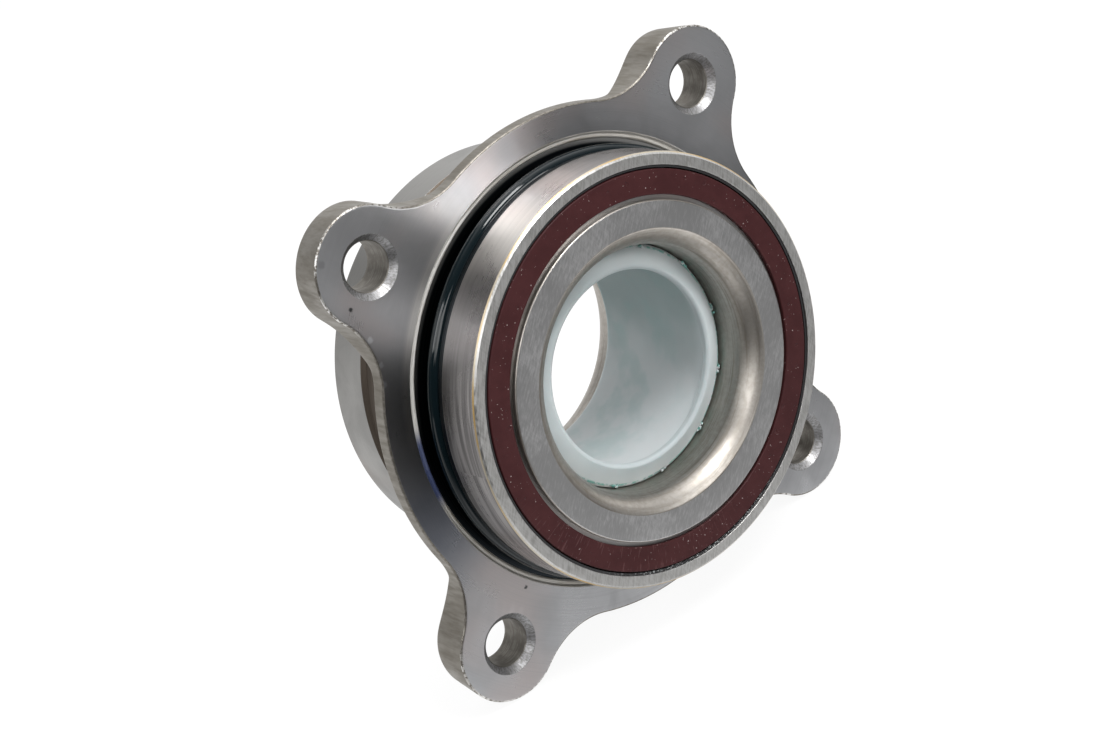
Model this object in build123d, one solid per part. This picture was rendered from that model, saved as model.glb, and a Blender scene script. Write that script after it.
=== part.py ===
from build123d import *
import math
import os

# Double-row angular-contact wheel hub bearing with a four-eared mounting flange.
# Millimetres. The axis is Y, the origin is where it crosses the flange's mounting face,
# the knuckle side (pilot, O-ring, encoder) faces -Y, and Z is up.

# Inner rings: two alike, back to back, meeting at the middle of the bearing
bore_r = 27.0
inner_ring_length = 28.95
inner_proud = 0.3
ring_wall = 4.5
shoulder_drop = 0.8
land_step = 1.6
bore_corner_r = 6.6
bore_corner_cut = 0.5
ring_edge = 0.4
seal_land_length = 9.2

# Ball rows
ball_d = 11.1125
ball_count = 17
ball_stand = 4.7
row_offset = 9.0
groove_free = 0.12

# Snap cages
cage_band = 4.2
cage_spine = 3.2
cage_spine_reach = 7.4
cage_finger_reach = 3.9
cage_heel = 0.8
pocket_free = 0.2

# Outer ring: bore and barrel, lengths measured from the mounting face
high_shoulder_rise = 2.8
low_shoulder_rise = 5.3
seal_bore_step = 2.85
pilot_reach = 18.3
pilot_wall = 2.85
pilot_land = 10.4
pilot_step = 0.3
end_chamfer = 0.65
rear_setback = 2.5
rear_wall = 2.2
rear_land_length = 12.2
neck_step = 0.95

# O-ring and its groove, which opens on the flange's inner edge
oring_d = 3.5
oring_stand_proud = 0.8
oring_free = 0.1
groove_near_y = -4.9
groove_far_y = 0.6
groove_flare = 1.7

# Outer ring: flange, thin between its ears
flange_thick = 10.0
rim_thick = 3.5
cone_rise = 7.5
face_relief_width = 1.2
face_relief_depth = 0.4
flange_land = 7.1
ear_reach = 7.8
ear_r = 13.0
ear_count = 4
first_ear_deg = 45.0
ear_web_r = 18.0
ear_slope_deg = 45.0
bolt_hole_r = 5.5
bolt_chamfer = 1.5
flange_edge = 0.4
root_r = 5.0
match = 0.01

# Cassette seals
seal_depth = 6.4
seal_recess = 0.3
case_sheet = 0.55
case_web_free = 2.2
slinger_sheet = 0.6
slinger_free = 0.3
slinger_inset = 0.2
slinger_tube = 5.3
encoder_thick = 1.0
encoder_recess = 0.1
encoder_width = 5.5
encoder_edge = 0.25
rubber_skin = 0.5
lip_free = 0.15
lip_tip = 0.2
main_lip_rise = 1.1
face_lip_root = 1.4
face_lip_thick = 0.9
face_lip_lean = 0.3
web_skin = 0.6

# Transport sleeve in the bore
sleeve_free = 0.05
sleeve_wall = 1.95
sleeve_front_gap = 10.5
sleeve_lip_width = 5.6
sleeve_lip_rise = 2.5
sleeve_lip_thick = 1.5
sleeve_edge = 0.5
nib_count = 12
nib_height = 1.1
nib_width = 3.4
nib_thick = 1.4
nib_free = 0.1
nib_root = 0.9
first_nib_deg = 1.0

# Worked out from the sizes above, along the axis
pilot_end_y = -pilot_reach
inner_front_y = pilot_end_y - inner_proud
middle_y = inner_front_y + inner_ring_length
rear_end_y = middle_y + inner_ring_length - rear_setback
inboard_row_y = middle_y - row_offset
outboard_row_y = middle_y + row_offset

# And outwards from the bore
low_shoulder_r = bore_r + ring_wall
pitch_r = low_shoulder_r + ball_stand
race_r = ball_d / 2 + groove_free
shoulder_r = pitch_r - shoulder_drop
seal_land_r = shoulder_r + land_step
outer_high_shoulder_r = pitch_r + high_shoulder_rise
outer_low_shoulder_r = pitch_r + low_shoulder_rise
seal_bore_r = outer_low_shoulder_r + seal_bore_step
case_wall_r = seal_bore_r - case_sheet
case_web_r = seal_land_r + slinger_sheet + case_web_free
rear_land_r = seal_bore_r + rear_wall
neck_r = rear_land_r - neck_step
pilot_r = seal_bore_r + pilot_wall
oring_crest_r = pilot_r + oring_stand_proud
groove_floor_r = oring_crest_r - oring_d - oring_free
groove_mouth_r = pilot_r + groove_flare
face_relief_r = groove_mouth_r + face_relief_width
plate_join_r = face_relief_r + flange_land / 2
flange_body_r = face_relief_r + flange_land
cone_r = flange_body_r - flange_edge
ear_circle_r = flange_body_r + ear_reach
ear_root_r = neck_r - neck_step
sleeve_r = bore_r - sleeve_free
sleeve_mouth_r = sleeve_r - sleeve_lip_width
half_pitch_deg = 180 / ball_count


def turned(section):
    """A section drawn as (radius, y) and turned about the bearing axis."""
    return revolve(section, Axis.Y)


def section(*corners):
    return make_face(Polyline(*corners, close=True))


def flipped(solid):
    """The same piece turned end for end about the middle of the bearing."""
    return mirror(solid, Plane.XZ.offset(-middle_y))


def around(count, first_deg, radius):
    """Places (x, z, degrees) spaced evenly round the axis, the first one measured from +X towards +Z."""
    places = []
    for i in range(count):
        deg = first_deg + i * 360 / count
        turn = math.radians(deg)
        places.append((radius * math.cos(turn), radius * math.sin(turn), deg))
    return places


def about_axis(solid, deg):
    """Turns a solid from +X towards +Z about the bearing axis."""
    return Rot(0, -deg, 0) * solid


def write(name, solid):
    export_step(solid, f"parts/{name}.step")


def flange_outline():
    """Round body with a round-ended ear at each bolt, blended by concave webs."""
    outline = Rot(0, 0, first_ear_deg) * Circle(flange_body_r)
    for x, z, _ in around(ear_count, first_ear_deg, ear_circle_r):
        outline += Pos(x, z) * Circle(ear_r)
    corners = [v for v in outline.vertices() if abs(math.hypot(v.X, v.Y) - flange_body_r) < match]
    return fillet(corners, ear_web_r)


def ears(outline):
    """The thick ears: straight-sided at the back, sloping out towards the front as far as the outline."""
    reach = ear_circle_r - ear_root_r
    back_r = ear_r - flange_edge
    end = Pos(ear_circle_r) * Circle(back_r) + Pos(ear_circle_r - reach / 2) * Rectangle(reach, 2 * back_r)
    back = Plane(origin=(0, flange_thick, 0), x_dir=(1, 0, 0), z_dir=(0, -1, 0))
    block = extrude(Plane.XZ * (outline - Circle(ear_root_r)), amount=-flange_thick)
    ear = extrude(back * end, amount=flange_thick - rim_thick, taper=-ear_slope_deg)
    thick = Part()
    for _, _, deg in around(ear_count, first_ear_deg, ear_circle_r):
        thick += about_axis(ear, deg) & block
    return thick


def outer_ring():
    """Forged ring turned inside and out: pilot, O-ring groove, flange, neck and rear land."""
    rear_land_y = rear_end_y - rear_land_length
    pilot_land_y = pilot_end_y + pilot_land
    cone_end_y = rim_thick + cone_rise
    barrel = section(
        (outer_high_shoulder_r, inboard_row_y),
        (outer_low_shoulder_r, inboard_row_y),
        (outer_low_shoulder_r, pilot_end_y + seal_depth),
        (seal_bore_r, pilot_end_y + seal_depth),
        (seal_bore_r, pilot_end_y),
        (pilot_r - end_chamfer, pilot_end_y),
        (pilot_r, pilot_end_y + end_chamfer),
        (pilot_r, pilot_land_y),
        (pilot_r - pilot_step, pilot_land_y + pilot_step),
        (pilot_r - pilot_step, groove_near_y),
        (groove_floor_r, groove_near_y),
        (groove_floor_r, groove_far_y),
        (groove_mouth_r, groove_far_y),
        (groove_mouth_r, face_relief_depth),
        (face_relief_r - face_relief_depth, face_relief_depth),
        (face_relief_r, 0),
        (plate_join_r, 0),
        (plate_join_r, rim_thick),
        (cone_r, rim_thick),
        (neck_r, cone_end_y),
        (neck_r, rear_land_y),
        (rear_land_r, rear_land_y + neck_step),
        (rear_land_r, rear_end_y - end_chamfer),
        (rear_land_r - end_chamfer, rear_end_y),
        (seal_bore_r, rear_end_y),
        (seal_bore_r, rear_end_y - seal_depth),
        (outer_low_shoulder_r, rear_end_y - seal_depth),
        (outer_low_shoulder_r, outboard_row_y),
        (outer_high_shoulder_r, outboard_row_y),
    )
    root = barrel.vertices().sort_by_distance((neck_r, cone_end_y, 0))[0]
    barrel = fillet(root, root_r)
    for row_y in (inboard_row_y, outboard_row_y):
        barrel -= Pos(pitch_r, row_y) * Circle(race_r)

    outline = flange_outline()
    plate = extrude(Plane.XZ * (outline - Circle(plate_join_r)), amount=-rim_thick)
    rims = [e for e in plate.edges() if abs(e.center().Y) < match]
    plate = chamfer([e for e in rims if math.hypot((e @ 0).X, (e @ 0).Z) > plate_join_r + match], flange_edge)
    flange = plate + ears(outline)
    hole = section(
        (0, 0),
        (bolt_hole_r + bolt_chamfer, 0),
        (bolt_hole_r, bolt_chamfer),
        (bolt_hole_r, flange_thick - bolt_chamfer),
        (bolt_hole_r + bolt_chamfer, flange_thick),
        (0, flange_thick),
    )
    for x, z, _ in around(ear_count, first_ear_deg, ear_circle_r):
        flange -= Pos(x, 0, z) * turned(hole)
    return turned(barrel) + flange


def inner_ring():
    """Ground ring of the knuckle side: bore with its big rounded corner, seal land and one raceway."""
    corner_y = inner_front_y + bore_corner_r - bore_corner_cut
    face_r = bore_r + bore_corner_r - math.sqrt(bore_corner_cut * (2 * bore_corner_r - bore_corner_cut))
    land_end_y = inner_front_y + seal_land_length
    blank = section(
        (bore_r, middle_y),
        (bore_r, inner_front_y),
        (seal_land_r - ring_edge, inner_front_y),
        (seal_land_r, inner_front_y + ring_edge),
        (seal_land_r, land_end_y),
        (shoulder_r, land_end_y + land_step),
        (shoulder_r, inboard_row_y),
        (low_shoulder_r, inboard_row_y),
        (low_shoulder_r, middle_y - ring_edge),
        (low_shoulder_r - ring_edge, middle_y),
    )
    corner = section(
        (bore_r, corner_y),
        (bore_r, inner_front_y),
        (face_r, inner_front_y),
        (bore_r + bore_corner_r, corner_y),
    )
    corner -= Pos(bore_r + bore_corner_r, corner_y) * Circle(bore_corner_r)
    return turned(blank - corner - Pos(pitch_r, inboard_row_y) * Circle(race_r))


def ball(row_y, x, z):
    return Pos(x, row_y, z) * Sphere(ball_d / 2)


def cage():
    """Moulded snap cage of the knuckle-side row: a ring behind the balls with fingers between them."""
    inner_r = pitch_r - cage_band / 2
    outer_r = pitch_r + cage_band / 2
    spine_y = inboard_row_y + cage_spine_reach
    body = turned(section(
        (inner_r, inboard_row_y - cage_finger_reach),
        (outer_r, inboard_row_y - cage_finger_reach),
        (outer_r, spine_y),
        (inner_r - cage_heel, spine_y),
        (inner_r - cage_heel, spine_y - cage_spine),
        (inner_r, spine_y - cage_spine - cage_heel),
    ))
    pocket = Pos(pitch_r, inboard_row_y, 0) * Rot(0, 90, 0) * Sphere(ball_d / 2 + pocket_free)
    body = about_axis(body, half_pitch_deg)
    for _, _, deg in around(ball_count, 0, pitch_r):
        body -= about_axis(pocket, deg)
    return body


def seal_case():
    """Pressed sheet case in the outer ring's bore: a cylinder with a web turned in behind it."""
    mouth_y = pilot_end_y + seal_recess
    floor_y = pilot_end_y + seal_depth
    return turned(section(
        (seal_bore_r, mouth_y),
        (seal_bore_r, floor_y),
        (case_web_r, floor_y),
        (case_web_r, floor_y - case_sheet),
        (case_wall_r, floor_y - case_sheet),
        (case_wall_r, mouth_y),
    ))


def slinger():
    """Pressed sheet thrower on the inner ring's land, with its flange out at the mouth of the seal."""
    front_y = pilot_end_y + encoder_recess + encoder_thick
    tube_end_y = front_y + slinger_tube
    flange_r = case_wall_r - slinger_free - slinger_inset
    return turned(section(
        (seal_land_r, front_y),
        (flange_r, front_y),
        (flange_r, front_y + slinger_sheet),
        (seal_land_r + slinger_sheet, front_y + slinger_sheet),
        (seal_land_r + slinger_sheet, tube_end_y),
        (seal_land_r, tube_end_y),
    ))


def encoder_ring():
    """Magnetised moulded ring on the thrower's face, which the wheel-speed sensor reads."""
    front_y = pilot_end_y + encoder_recess
    outer_r = case_wall_r - slinger_free
    inner_r = outer_r - encoder_width
    return turned(section(
        (inner_r, front_y + encoder_thick),
        (inner_r, front_y + encoder_edge),
        (inner_r + encoder_edge, front_y),
        (outer_r - encoder_edge, front_y),
        (outer_r, front_y + encoder_edge),
        (outer_r, front_y + encoder_thick),
    ))


def seal_lip():
    """Rubber moulded on the case's web: a lip on the thrower's tube and one towards its flange."""
    web_y = pilot_end_y + seal_depth - case_sheet
    skin_y = web_y - rubber_skin
    tube_r = seal_land_r + slinger_sheet
    face_tip_y = pilot_end_y + encoder_recess + encoder_thick + slinger_sheet + lip_free
    face_root_r = case_wall_r - face_lip_root
    face_tip_r = face_root_r + face_lip_lean
    main_tip_r = tube_r + lip_free
    main_tip_y = skin_y - main_lip_rise
    return turned(section(
        (case_wall_r, web_y),
        (case_wall_r, skin_y),
        (face_root_r, skin_y),
        (face_tip_r, face_tip_y),
        (face_tip_r - face_lip_thick / 2, face_tip_y + lip_tip / 2),
        (face_root_r - face_lip_thick, skin_y),
        (case_web_r - web_skin, skin_y),
        (main_tip_r + lip_tip, main_tip_y),
        (main_tip_r, main_tip_y + lip_tip),
        (case_web_r - 2 * web_skin, web_y),
    ))


def transport_sleeve():
    """Thin moulded tube that keeps the two inner rings together, with a dished mouth and snap nibs."""
    front_y = inner_front_y + sleeve_front_gap
    rear_y = 2 * middle_y - front_y
    inner_r = sleeve_r - sleeve_wall
    mouth_y = front_y - sleeve_lip_rise
    body = turned(section(
        (sleeve_r, front_y),
        (sleeve_mouth_r + sleeve_edge, mouth_y),
        (sleeve_mouth_r, mouth_y + sleeve_edge),
        (sleeve_mouth_r, mouth_y + sleeve_lip_thick),
        (inner_r, front_y + sleeve_lip_thick),
        (inner_r, rear_y),
        (sleeve_r - sleeve_edge, rear_y),
        (sleeve_r, rear_y - sleeve_edge),
    ))
    band = turned(section(
        (sleeve_r - nib_thick, front_y - nib_height),
        (sleeve_r - nib_free, front_y - nib_height),
        (sleeve_r - nib_free, front_y + nib_root),
        (sleeve_r - nib_thick, front_y + nib_root),
    ))
    bar = Pos(sleeve_r, front_y, 0) * Box(4 * nib_thick, 4 * nib_height, nib_width)
    nib = bar & band
    for i in range(nib_count):
        body += about_axis(nib, first_nib_deg + i * 360 / nib_count)
    return body


os.makedirs("parts", exist_ok=True)

write("outer_ring", outer_ring())
write("o_ring", Pos(0, groove_near_y + oring_free + oring_d / 2, 0)
      * Rot(90, 0, 0) * Torus(oring_crest_r - oring_d / 2, oring_d / 2))

knuckle_side = {
    "inner_ring": inner_ring(),
    "cage": cage(),
    "seal_case": seal_case(),
    "seal_lip": seal_lip(),
    "slinger": slinger(),
}
for name in ("inner_ring", "cage"):
    write(f"{name}_inboard", knuckle_side[name])
    write(f"{name}_outboard", flipped(knuckle_side[name]))
rear_shift = Pos(0, pilot_end_y + rear_end_y - 2 * middle_y, 0)
for name in ("seal_case", "seal_lip", "slinger"):
    write(f"{name}_inboard", knuckle_side[name])
    write(f"{name}_outboard", rear_shift * flipped(knuckle_side[name]))
write("encoder_ring", encoder_ring())
write("transport_sleeve", transport_sleeve())

for row, row_y in (("inboard", inboard_row_y), ("outboard", outboard_row_y)):
    for i, (x, z, _) in enumerate(around(ball_count, 0, pitch_r)):
        write(f"ball_{row}_{i + 1:02d}", ball(row_y, x, z))
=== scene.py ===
import math
import random
import bmesh
import bpy
from mathutils import Matrix, Vector, noise
from mathutils.geometry import delaunay_2d_cdt


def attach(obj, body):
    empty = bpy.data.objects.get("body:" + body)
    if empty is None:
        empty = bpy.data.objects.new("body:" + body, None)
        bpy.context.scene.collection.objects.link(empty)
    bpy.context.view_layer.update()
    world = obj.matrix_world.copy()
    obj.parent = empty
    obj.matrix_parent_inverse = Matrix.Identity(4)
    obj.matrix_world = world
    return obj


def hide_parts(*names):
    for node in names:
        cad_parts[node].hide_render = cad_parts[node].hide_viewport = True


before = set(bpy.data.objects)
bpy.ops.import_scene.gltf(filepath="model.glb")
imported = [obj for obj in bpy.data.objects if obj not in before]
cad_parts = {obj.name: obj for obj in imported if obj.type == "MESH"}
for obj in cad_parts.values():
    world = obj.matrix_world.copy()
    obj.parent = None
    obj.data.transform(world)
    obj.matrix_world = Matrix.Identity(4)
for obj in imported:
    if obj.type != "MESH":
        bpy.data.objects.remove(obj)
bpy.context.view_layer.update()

# Camera, at the height and tilt the photograph was taken from, about half a metre away.
# The bearing's axis runs away from it to the left, and the picture is rolled by nineteen degrees.
camera_lens = bpy.data.cameras.new("camera")
camera_lens.lens = 77.14
camera_lens.sensor_width = 36.0
camera_lens.clip_start = 0.01
camera = bpy.data.objects.new("camera", camera_lens)
bpy.context.scene.collection.objects.link(camera)
camera_right = Vector((0.74173, -0.59832, -0.30307))
camera_up = Vector((0.46330, 0.13034, 0.87657))
camera_back = Vector((-0.48496, -0.79059, 0.37387))
camera.matrix_world = Matrix.Translation((-0.26017, -0.40278, 0.19631)) @ Matrix(
    (camera_right, camera_up, camera_back)).transposed().to_4x4()
bpy.context.scene.camera = camera


# Outer ring: one steel forging, turned inside and out, with the flange's faces turned flat and
# its ears left as forged round the edge. Ground on the end faces, with four bolt holes drilled
# through and countersunk. Everything else in the bearing is carried in it or on it.
def rounded(corners, steps=4):
    """A closed outline of (radius, y, corner radius) in millimetres, as plain points."""
    outline = []
    for i, (r, y, bend) in enumerate(corners):
        here = Vector((r, y))
        before = Vector(corners[i - 1][:2])
        after = Vector(corners[(i + 1) % len(corners)][:2])
        if bend == 0:
            outline.append(here)
            continue
        one, other = (before - here).normalized(), (after - here).normalized()
        half = one.angle(other) / 2
        back = bend / math.tan(half)
        centre = here + (one + other).normalized() * bend / math.sin(half)
        start, end = here + one * back - centre, here + other * back - centre
        sweep = start.angle_signed(end)
        for k in range(steps + 1):
            turn = Matrix.Rotation(-sweep * k / steps, 2)
            outline.append(centre + turn @ start)
    return outline


def lathe(shape, outline, turns=360, closed=True, finish_of=None):
    """Turns an outline about the bearing axis and adds it to a mesh. finish_of gives a face's finish."""
    rings = []
    for point in outline:
        rings.append([
            shape.verts.new((point[0] * math.cos(2 * math.pi * k / turns) / 1000, point[1] / 1000,
                             point[0] * math.sin(2 * math.pi * k / turns) / 1000))
            for k in range(turns)])
    pairs = list(zip(rings, rings[1:] + rings[:1])) if closed else list(zip(rings, rings[1:]))
    for i, (one, other) in enumerate(pairs):
        a, b = outline[i], outline[(i + 1) % len(outline)]
        for k in range(turns):
            face = shape.faces.new((one[k], one[(k + 1) % turns], other[(k + 1) % turns], other[k]))
            face.smooth = True
            if finish_of:
                face.material_index = finish_of((a[0] + b[0]) / 2, (a[1] + b[1]) / 2)
    return rings


def make_piece(name, shape, finishes, body, stands_for=(), crease=35):
    """Turns a mesh in the making into a piece that rides on its body."""
    bmesh.ops.recalc_face_normals(shape, faces=shape.faces)
    mesh = bpy.data.meshes.new(name)
    shape.to_mesh(mesh)
    shape.free()
    for finish in finishes:
        mesh.materials.append(finish)
    mesh.set_sharp_from_angle(angle=math.radians(crease))
    piece = bpy.data.objects.new(name, mesh)
    bpy.context.scene.collection.objects.link(piece)
    even = piece.modifiers.new("even shading", "WEIGHTED_NORMAL")
    even.keep_sharp = True
    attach(piece, body)
    if stands_for:
        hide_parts(*stands_for)
    return piece


class Finish:
    """A surface finish, built up node by node. Lengths in it are millimetres on the bearing."""

    def __init__(self, name, colour, metal, rough):
        self.material = bpy.data.materials.new(name)
        self.material.use_nodes = True
        self.tree = self.material.node_tree
        self.shader = self.tree.nodes["Principled BSDF"]
        self.shader.inputs["Base Color"].default_value = (*colour, 1)
        self.shader.inputs["Metallic"].default_value = metal
        self.shader.inputs["Roughness"].default_value = rough
        where = self.tree.nodes.new("ShaderNodeTexCoord").outputs["Object"]
        self.mm = self.vector("SCALE", where, Scale=1000)
        split = self.tree.nodes.new("ShaderNodeSeparateXYZ")
        self.join(self.mm, split.inputs[0])
        self.x, self.y, self.z = split.outputs
        self.bumps = None

    def join(self, value, socket):
        if isinstance(value, bpy.types.NodeSocket):
            self.tree.links.new(value, socket)
        else:
            socket.default_value = value

    def math(self, operation, *values, clamp=False):
        node = self.tree.nodes.new("ShaderNodeMath")
        node.operation = operation
        node.use_clamp = clamp
        for value, socket in zip(values, node.inputs):
            self.join(value, socket)
        return node.outputs[0]

    def times(self, one, other):
        return self.math("MULTIPLY", one, other)

    def off(self, value, middle):
        """How far a value is from that middle, either way."""
        return self.math("ABSOLUTE", self.math("SUBTRACT", value, middle))

    def vector(self, operation, *values, **named):
        node = self.tree.nodes.new("ShaderNodeVectorMath")
        node.operation = operation
        for value, socket in zip(values, node.inputs):
            self.join(value, socket)
        for name, value in named.items():
            self.join(value, node.inputs[name])
        return node.outputs["Value" if operation in ("LENGTH", "DISTANCE", "DOT_PRODUCT") else "Vector"]

    def at(self, x=0.0, y=0.0, z=0.0):
        node = self.tree.nodes.new("ShaderNodeCombineXYZ")
        for value, socket in zip((x, y, z), node.inputs):
            self.join(value, socket)
        return node.outputs[0]

    def radius(self):
        return self.math("SQRT", self.math("ADD", self.times(self.x, self.x), self.times(self.z, self.z)))

    def turn(self):
        """The angle round the axis, from +X towards +Z, in radians."""
        return self.math("ARCTAN2", self.z, self.x)

    def noise(self, vector, scale=1.0, detail=2.0, rough=0.5, spread=0.0):
        node = self.tree.nodes.new("ShaderNodeTexNoise")
        self.join(vector, node.inputs["Vector"])
        for name, value in (("Scale", scale), ("Detail", detail), ("Roughness", rough), ("Distortion", spread)):
            self.join(value, node.inputs[name])
        return node.outputs[0]

    def between(self, value, low, high, to_low=0.0, to_high=1.0, smooth=True):
        node = self.tree.nodes.new("ShaderNodeMapRange")
        node.interpolation_type = "SMOOTHSTEP" if smooth else "LINEAR"
        for v, socket in zip((value, low, high, to_low, to_high), node.inputs):
            self.join(v, socket)
        return node.outputs[0]

    def blend(self, share, one, other):
        """Colours one and other, mixed by share."""
        node = self.tree.nodes.new("ShaderNodeMix")
        node.data_type = "RGBA"
        self.join(share, node.inputs["Factor"])
        for value, socket in ((one, node.inputs[6]), (other, node.inputs[7])):
            self.join((*value, 1) if isinstance(value, tuple) else value, socket)
        return node.outputs[2]

    def lines(self, degrees, across, along, detail=2.0):
        """Straight grinding lines over the XZ plane, running at that angle from +X towards +Z."""
        c, s = math.cos(math.radians(degrees)), math.sin(math.radians(degrees))
        down = self.math("ADD", self.times(self.x, c * along), self.times(self.z, s * along))
        over = self.math("ADD", self.times(self.x, -s * across), self.times(self.z, c * across))
        return self.noise(self.at(down, over), 1.0, detail, 0.6)

    def rings(self, fineness, drift=0.35, detail=3.0):
        """Turning marks: rings about the axis on a flat face, and round a cylinder."""
        step = self.math("ADD", self.radius(), self.y)
        return self.noise(self.at(self.times(step, fineness), self.times(self.turn(), drift)), 1.0, detail, 0.65)

    def bump(self, height, depth):
        """Adds a relief of that depth in millimetres, over the ones before."""
        node = self.tree.nodes.new("ShaderNodeBump")
        self.join(depth / 1000, node.inputs["Distance"])
        self.join(height, node.inputs["Height"])
        if self.bumps:
            self.join(self.bumps, node.inputs["Normal"])
        self.bumps = node.outputs[0]
        self.join(self.bumps, self.shader.inputs["Normal"])

    def colour(self, value):
        self.join(value, self.shader.inputs["Base Color"])

    def rough(self, value):
        self.join(value, self.shader.inputs["Roughness"])

    def round_grain(self, amount):
        """Stretches the gloss as turning marks about the axis do."""
        self.shader.inputs["Anisotropic"].default_value = amount
        self.shader.inputs["Anisotropic Rotation"].default_value = 0.25
        tangent = self.tree.nodes.new("ShaderNodeTangent")
        tangent.direction_type = "RADIAL"
        tangent.axis = "Y"
        self.join(tangent.outputs[0], self.shader.inputs["Tangent"])


def toned(tone, share):
    """A colour made darker or lighter by that share."""
    return tuple(share * c for c in tone)


def turned_steel(name, tone, rough, grain, ring_fineness, ring_depth, bands=0.0, stains_and_painted_light=False):
    """Steel with turning marks and a few smears, a little browner in some places than in others. The pilot
    has darker bands round it, with painted shade and a painted highlight on its upper left. The flange has heat
    stains, one of them dark enough to serve as painted dark reflection too, marks, and a painted highlight on the rim
    beside its relief."""
    finish = Finish(name, tone, 1.0, rough)
    marks = finish.rings(ring_fineness)
    broad = finish.rings(ring_fineness / 7, 0.6)
    smear = finish.noise(finish.mm, 0.09, 4, 0.55, 0.6)
    warm = finish.noise(finish.vector("ADD", finish.mm, (31.0, 0.0, 17.0)), 0.035, 2, 0.5)
    warm_tone = tuple(k * c for k, c in zip((0.98, 0.90, 0.87), tone))
    steel = finish.blend(finish.between(smear, 0.3, 0.7), tone, toned(tone, 0.86))
    steel = finish.blend(finish.between(warm, 0.5, 0.7), steel, warm_tone)
    turn, dark = finish.turn(), toned(tone, 0.35)
    if bands:
        step = finish.math("ADD", finish.radius(), finish.y)
        band = finish.noise(finish.at(finish.times(step, 0.8), finish.times(turn, 0.9), 3.0), 1.0, 3, 0.7)
        low_down = finish.between(finish.z, 30.0, 12.0, 0.25, 1.0)
        steel = finish.blend(finish.times(finish.between(band, 0.42, 0.62, 0.0, bands), low_down), steel, dark)
        # Painted shade: the pilot is darkened in a sector about 140 degrees round, on its upper left.
        steel = finish.blend(finish.between(finish.off(turn, 2.45), 0.3, 0.05, 0.0, 0.45), steel, dark)
        # Painted highlight: a cream band on the pilot about 117 degrees round, on its upper left.
        steel = finish.blend(finish.between(finish.off(turn, 2.05), 0.3, 0.05, 0.0, 0.7), steel, (0.68, 0.65, 0.61))
    if stains_and_painted_light:
        # A blued heat stain on the face at the left, painted dark enough to serve as painted dark reflection too.
        blued_stain_and_painted_shade = finish.vector("DISTANCE", finish.mm, (-54.0, 0.0, -11.0))
        steel = finish.blend(finish.between(blued_stain_and_painted_shade, 22.0, 3.0, 0.0, 0.6), steel, (0.08, 0.10, 0.15))
        # Painted highlight: the face beside the relief is lightened on its upper left.
        upper_left = finish.times(finish.between(turn, 1.9, 2.3), finish.between(turn, 3.1, 2.9))
        painted_highlight_by_relief = finish.times(finish.between(finish.radius(), 53.2, 51.2), upper_left)
        steel = finish.blend(finish.times(painted_highlight_by_relief, 0.75), steel, (0.72, 0.70, 0.67))
        for x, z, size, shade in ((-56.2, 51.5, 1.1, 0.75), (-53.5, 40.0, 0.6, 0.15), (-37.4, -36.4, 0.5, 0.15),
                                  (-52.5, 22.1, 0.9, 1.5), (-51.8, 32.2, 0.8, 1.4), (-51.5, 26.2, 0.7, 1.4)):
            away = finish.vector("DISTANCE", finish.mm, (x, 0.0, z))
            away = finish.math("ADD", away, finish.times(finish.noise(finish.mm, 1.5, 2, 0.5), 0.8))
            mark_tone = tuple(min(shade * c, 0.75) for c in tone)
            steel = finish.blend(finish.between(away, size + 0.5, size * 0.6 + 0.3), steel, mark_tone)
    finish.colour(finish.blend(finish.between(marks, 0.4, 0.9, 0.0, 0.5), steel, toned(tone, 0.74)))
    finish.rough(finish.math("ADD", finish.between(smear, 0.25, 0.75, rough * 0.85, rough * 1.15),
                             finish.between(marks, 0.3, 0.7, -0.02, 0.02)))
    finish.bump(marks, ring_depth)
    finish.bump(broad, ring_depth * 1.5)
    finish.round_grain(grain)
    return finish.material


flange_steel = turned_steel("turned flange face", (0.445, 0.448, 0.46), 0.32, 0.95, 4.0, 0.0005, stains_and_painted_light=True)
pilot_steel = turned_steel("turned pilot", (0.43, 0.41, 0.405), 0.30, 0.85, 3.0, 0.003, bands=0.85)
land_steel = turned_steel("ground rear land", (0.30, 0.295, 0.285), 0.36, 0.5, 3.0, 0.001)

forged = Finish("forged ear side", (0.30, 0.28, 0.25), 1.0, 0.48)
machined = forged.times(forged.between(forged.y, 9.90, 9.97), forged.between(forged.radius(), 51.0, 52.0))
as_forged = forged.math("SUBTRACT", 1.0, machined)
forged_scale = forged.noise(forged.mm, 0.8, 5, 0.65)
forged_cloud = forged.noise(forged.mm, 0.12, 3, 0.5)
forged_streak = forged.noise(forged.at(forged.times(forged.turn(), 45.0), forged.times(forged.radius(), 0.8),
                                       forged.times(forged.y, 0.12)), 1.0, 4, 0.65)
forged_tone = forged.blend(forged.between(forged_cloud, 0.35, 0.65), (0.265, 0.25, 0.225), (0.205, 0.19, 0.165))
forged_tone = forged.blend(forged.between(forged_streak, 0.35, 0.8), forged_tone, (0.17, 0.155, 0.13))
# Painted shade: the forged back within 57 mm of the axis and more than 3.5 mm behind the face is darkened.
painted_shade_behind_rim = forged.times(forged.between(forged.radius(), 57.6, 57.0), forged.between(forged.y, 3.3, 3.7))
forged_tone = forged.blend(painted_shade_behind_rim, forged_tone, (0.085, 0.072, 0.06))
machined_marks = forged.rings(6.0)
machined_tone = forged.blend(forged.between(machined_marks, 0.3, 0.7), (0.46, 0.455, 0.45), (0.37, 0.365, 0.36))
forged.colour(forged.blend(machined, forged_tone, machined_tone))
forged_rough = forged.between(forged_streak, 0.3, 0.7, 0.42, 0.56)
forged.rough(forged.math("SUBTRACT", forged_rough, forged.times(machined, 0.13)))
forged.bump(forged.times(forged_scale, as_forged), 0.014)
forged.bump(forged.times(forged_streak, as_forged), 0.005)

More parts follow.
